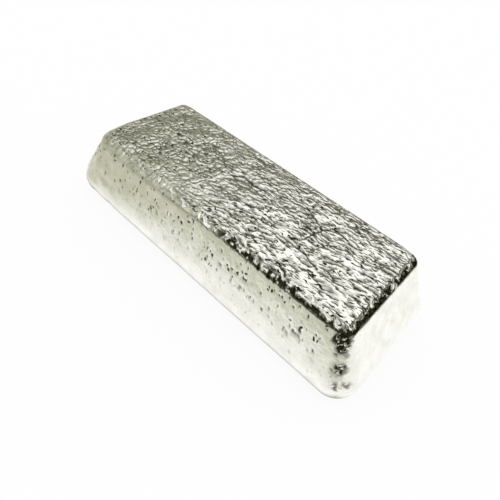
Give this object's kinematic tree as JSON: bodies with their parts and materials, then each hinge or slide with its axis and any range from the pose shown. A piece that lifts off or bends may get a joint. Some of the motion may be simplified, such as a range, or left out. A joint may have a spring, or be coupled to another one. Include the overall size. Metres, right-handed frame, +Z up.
{
  "type": "hafnium ingot",
  "caption": "Cast hafnium ingot: a bar with leaning sides and ends, a crisp narrow crinkled face above and a wide face with soft round edges below.",
  "frame": {"origin": "on the surface that the ingot lies on, under the middle of its box", "axes": "+X along the bar, +Y across it, +Z up through the narrower face"},
  "size_m": [0.1766, 0.0746, 0.0338],
  "materials": {
    "cast_hafnium": "as cast, bright silver grey with a faint olive cast; crinkled upper face, smooth sides with small dark pits"
  },
  "bodies": {
    "root": {"ingot": "cast_hafnium"}
  },
  "joints": []
}
